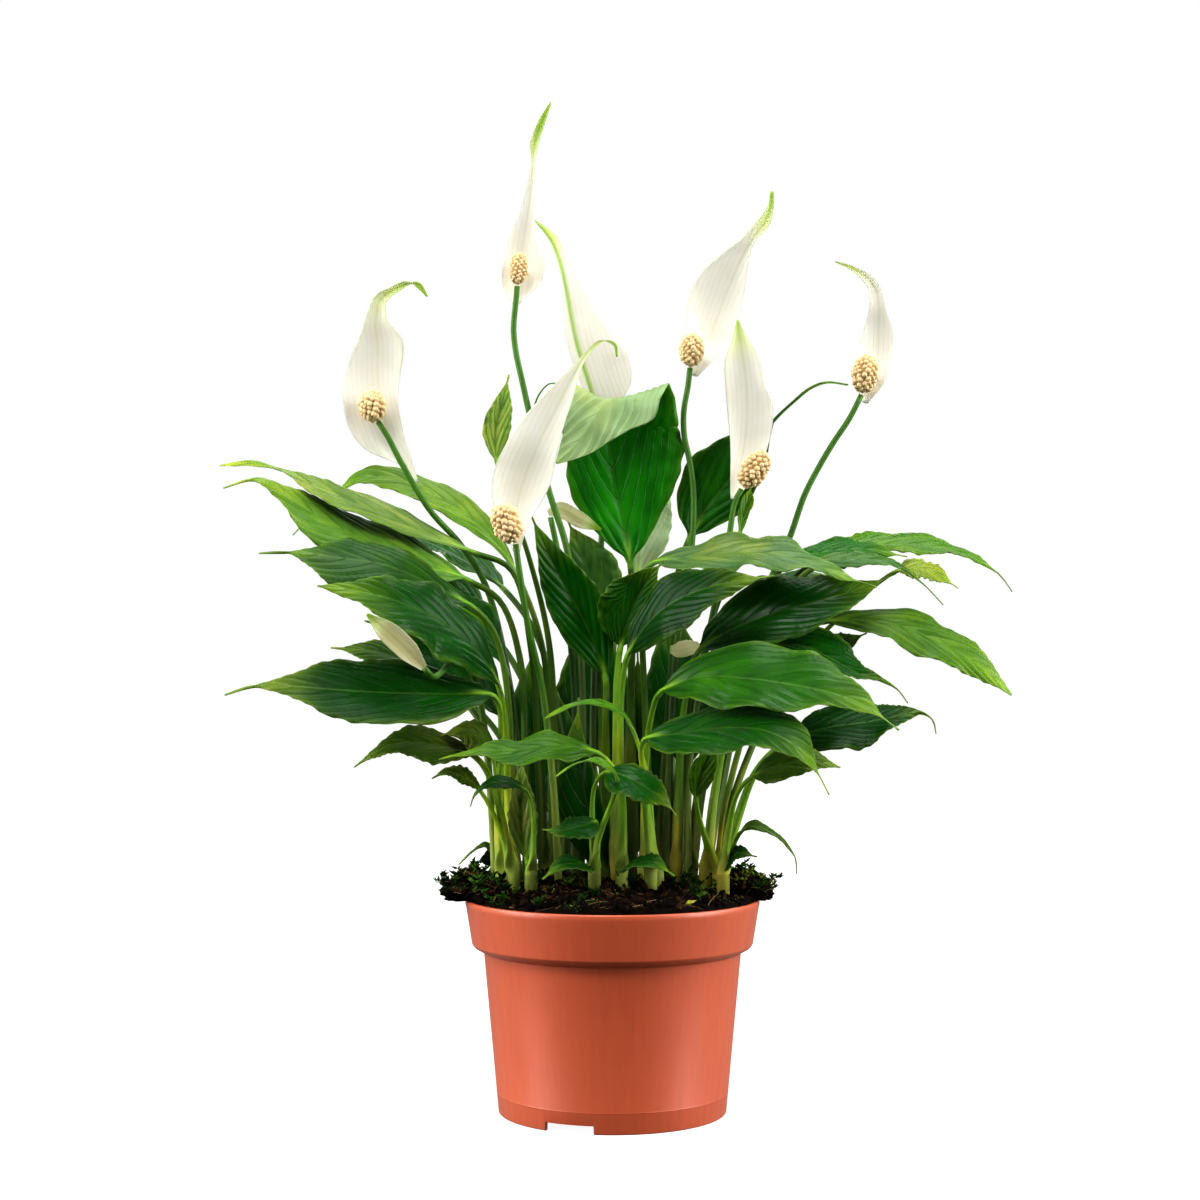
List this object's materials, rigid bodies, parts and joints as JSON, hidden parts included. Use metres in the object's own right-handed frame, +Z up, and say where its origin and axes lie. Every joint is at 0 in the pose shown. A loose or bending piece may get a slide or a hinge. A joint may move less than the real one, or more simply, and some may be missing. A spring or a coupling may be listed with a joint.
{
  "type": "potted peace lily",
  "caption": "Flowering peace lily with white spathes and glossy pointed leaves in a round terracotta-coloured plastic nursery pot filled with soil.",
  "frame": {"origin": "centre of the pot's foot on the ground", "axes": "+Z up along the pot's axis, -Y towards the front of the plant, +X to the right as seen from the front"},
  "size_m": [0.3539, 0.2289, 0.4503],
  "materials": {
    "pot": "satin",
    "soil": "matte",
    "leaf": "glossy",
    "stem": "satin",
    "spathe": "satin",
    "spent_spathe": "matte",
    "spadix": "matte"
  },
  "bodies": {
    "root": {"leaf_left_1": "leaf", "leaf_left_2": "leaf", "shoot_left_3": "leaf", "leaf_left_4": "leaf", "leaf_left_5": "leaf", "shoot_left_6": "leaf", "leaf_left_7": "leaf", "shoot_left_8": "leaf", "shoot_left_9": "leaf", "shoot_left_10": "leaf", "shoot_front_1": "leaf", "shoot_front_2": "leaf", "leaf_front_3": "leaf", "leaf_centre_1": "leaf", "shoot_centre_2": "leaf", "shoot_centre_3": "leaf", "leaf_right_1": "leaf", "leaf_right_2": "leaf", "leaf_right_3": "leaf", "leaf_right_4": "leaf", "shoot_right_5": "leaf", "shoot_right_6": "leaf", "shoot_right_7": "leaf", "leaf_right_8": "leaf", "leaf_right_9": "leaf", "shoot_right_10": "leaf", "leaf_right_11": "leaf", "shoot_right_12": "leaf", "shoot_back_1": "leaf", "shoot_back_2": "leaf", "shoot_back_3": "leaf", "bloom_1_stem": "stem", "bloom_1_spathe": "spathe", "bloom_1_spadix": "spadix", "bloom_2_stem": "stem", "bloom_2_spathe": "spathe", "bloom_2_spadix": "spadix", "bloom_3_stem": "stem", "bloom_3_spathe": "spathe", "bloom_3_spadix": "spadix", "bloom_4_stem": "stem", "bloom_4_spathe": "spathe", "bloom_4_spadix": "spadix", "bloom_5_stem": "stem", "bloom_5_spathe": "spathe", "bloom_5_spadix": "spadix", "bloom_6_stem": "stem", "bloom_6_spathe": "spathe", "bloom_6_spadix": "spadix", "bloom_7_stem": "stem", "bloom_7_spathe": "spathe", "bloom_7_spadix": "spadix", "bloom_8_stem": "stem", "bloom_8_spathe": "spent_spathe", "bud_left_stem": "stem", "bud_left_spathe": "spathe", "bud_small_stem": "stem", "bud_small_spathe": "spathe", "pot": "pot", "soil": "soil"}
  },
  "joints": []
}
